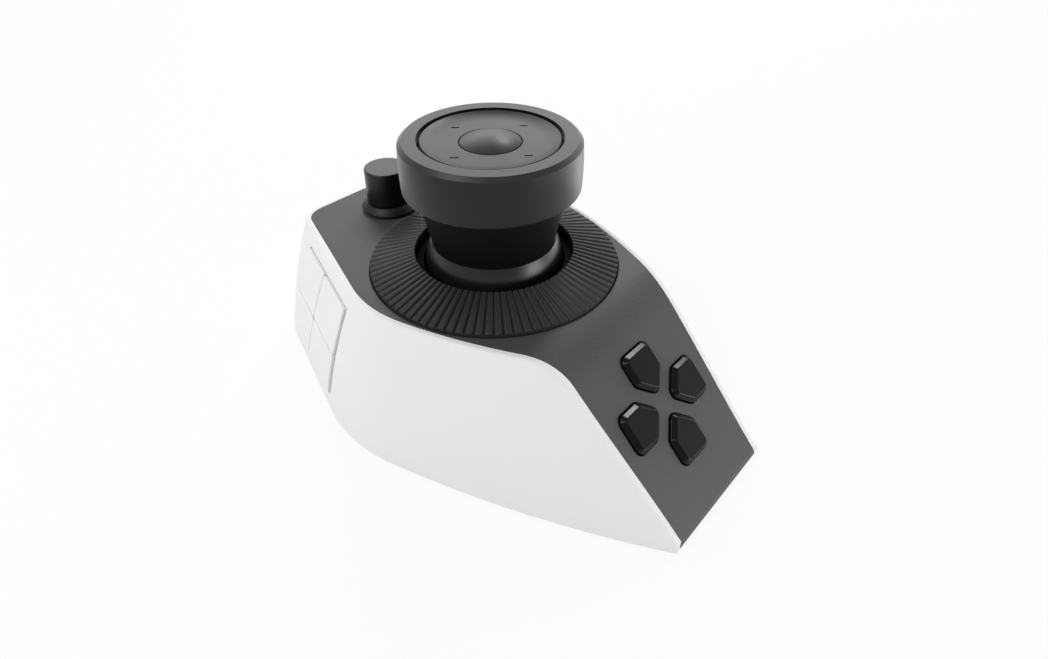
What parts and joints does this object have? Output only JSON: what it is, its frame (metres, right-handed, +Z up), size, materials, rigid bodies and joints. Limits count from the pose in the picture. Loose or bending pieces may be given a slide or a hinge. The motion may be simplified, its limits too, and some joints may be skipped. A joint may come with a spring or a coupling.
{
  "type": "editing console",
  "caption": "Desktop editing console: leaning white shell, dark saddle panel, tilting joystick with a rotary cup, ribbed dial, small knob, thumb keys and finger keys.",
  "frame": {"origin": "on the desk below the middle of the body's length and width", "axes": "+Z up, -Y towards the front slope with the thumb keys, +X to the right of a user behind the front"},
  "size_m": [0.111, 0.168, 0.0851],
  "materials": {
    "shell_white": "satin moulded white plastic",
    "panel_charcoal": "fine-grained matte charcoal plastic",
    "dial_black": "satin black plastic",
    "cup_grey": "soft-touch dark grey",
    "key_gloss": "glossy black",
    "inner_plastic": "matte black moulding",
    "rubber": "soft rubber",
    "steel": "plated steel",
    "board": "green circuit board",
    "switch": "black switch bodies",
    "battery_foil": "foil pouch",
    "magnet": "bonded magnet"
  },
  "bodies": {
    "console": {"side_shell": "shell_white", "top_panel": "panel_charcoal", "base_plate": "inner_plastic", "base_screws": "steel", "rubber_feet": "rubber", "main_board": "board", "battery_cell": "battery_foil", "usb_socket": "steel", "dial_carrier": "dial_black", "gimbal_base": "inner_plastic", "stick_sensor_board": "board", "knob_collar": "dial_black", "encoder_body": "inner_plastic", "thumb_key_board": "board", "thumb_key_switches": "switch", "finger_key_frame": "inner_plastic", "finger_key_board": "board", "finger_key_switches": "switch"},
    "dial": {"dial_ring": "dial_black", "dial_magnet_ring": "magnet"},
    "yoke": {"gimbal_yoke": "inner_plastic"},
    "stick": {"stick_shaft": "inner_plastic", "stick_magnet": "magnet", "ball_skirt": "dial_black", "neck_spindle": "dial_black", "spindle_cap": "inner_plastic", "top_switch_board": "board"},
    "cup": {"rotary_cup": "cup_grey"},
    "rocker": {"rocker_ring": "inner_plastic"},
    "disc": {"four_way_disc": "cup_grey"},
    "button": {"centre_button": "cup_grey"},
    "knob": {"small_knob": "cup_grey", "encoder_shaft": "steel"},
    "thumb_key_up": {"thumb_key_up": "key_gloss"},
    "thumb_key_left": {"thumb_key_left": "key_gloss"},
    "thumb_key_down": {"thumb_key_down": "key_gloss"},
    "thumb_key_right": {"thumb_key_right": "key_gloss"},
    "finger_key_lower_front": {"finger_key_lower_front": "shell_white"},
    "finger_key_lower_rear": {"finger_key_lower_rear": "shell_white"},
    "finger_key_upper_front": {"finger_key_upper_front": "shell_white"},
    "finger_key_upper_rear": {"finger_key_upper_rear": "shell_white"}
  },
  "joints": [
    {"name": "dial_turn", "type": "hinge", "parent": "console", "child": "dial", "pos_m": [0, 0.0025, 0.0478], "axis": [0, 0, 1], "continuous": true},
    {"name": "stick_tilt_fore_aft", "type": "hinge", "parent": "console", "child": "yoke", "pos_m": [0, 0.0025, 0.0442], "axis": [1, 0, 0], "range_deg": [-10, 10], "stiffness_Nm_per_rad": 0.25},
    {"name": "stick_tilt_side", "type": "hinge", "parent": "yoke", "child": "stick", "pos_m": [0, 0.0025, 0.0442], "axis": [0, 1, 0], "range_deg": [-10, 10], "stiffness_Nm_per_rad": 0.25},
    {"name": "cup_turn", "type": "hinge", "parent": "stick", "child": "cup", "pos_m": [0, 0.0025, 0.07], "axis": [0, 0, 1], "continuous": true},
    {"name": "disc_rock_fore_aft", "type": "hinge", "parent": "stick", "child": "rocker", "pos_m": [0, 0.0025, 0.078], "axis": [1, 0, 0], "range_deg": [-1.5, 1.5], "stiffness_Nm_per_rad": 1.5},
    {"name": "disc_rock_side", "type": "hinge", "parent": "rocker", "child": "disc", "pos_m": [0, 0.0025, 0.078], "axis": [0, 1, 0], "range_deg": [-1.5, 1.5], "stiffness_Nm_per_rad": 1.5},
    {"name": "centre_button_press", "type": "slide", "parent": "stick", "child": "button", "axis": [0, 0, -1], "range_m": [0, 0.0008], "stiffness_N_per_m": 1200},
    {"name": "small_knob_turn", "type": "hinge", "parent": "console", "child": "knob", "pos_m": [0, 0.052, 0.052], "axis": [0, 0, 1], "continuous": true},
    {"name": "thumb_key_up_press", "type": "slide", "parent": "console", "child": "thumb_key_up", "axis": [0, 0.7034, -0.7108], "range_m": [0, 0.001], "stiffness_N_per_m": 1200},
    {"name": "thumb_key_left_press", "type": "slide", "parent": "console", "child": "thumb_key_left", "axis": [0, 0.7034, -0.7108], "range_m": [0, 0.001], "stiffness_N_per_m": 1200},
    {"name": "thumb_key_down_press", "type": "slide", "parent": "console", "child": "thumb_key_down", "axis": [0, 0.7034, -0.7108], "range_m": [0, 0.001], "stiffness_N_per_m": 1200},
    {"name": "thumb_key_right_press", "type": "slide", "parent": "console", "child": "thumb_key_right", "axis": [0, 0.7034, -0.7108], "range_m": [0, 0.001], "stiffness_N_per_m": 1200},
    {"name": "finger_key_lower_front_press", "type": "slide", "parent": "console", "child": "finger_key_lower_front", "axis": [0.9026, -0.3232, -0.2845], "range_m": [0, 0.0008], "stiffness_N_per_m": 1500},
    {"name": "finger_key_lower_rear_press", "type": "slide", "parent": "console", "child": "finger_key_lower_rear", "axis": [0.9026, -0.3232, -0.2845], "range_m": [0, 0.0008], "stiffness_N_per_m": 1500},
    {"name": "finger_key_upper_front_press", "type": "slide", "parent": "console", "child": "finger_key_upper_front", "axis": [0.9026, -0.3232, -0.2845], "range_m": [0, 0.0008], "stiffness_N_per_m": 1500},
    {"name": "finger_key_upper_rear_press", "type": "slide", "parent": "console", "child": "finger_key_upper_rear", "axis": [0.9026, -0.3232, -0.2845], "range_m": [0, 0.0008], "stiffness_N_per_m": 1500}
  ]
}
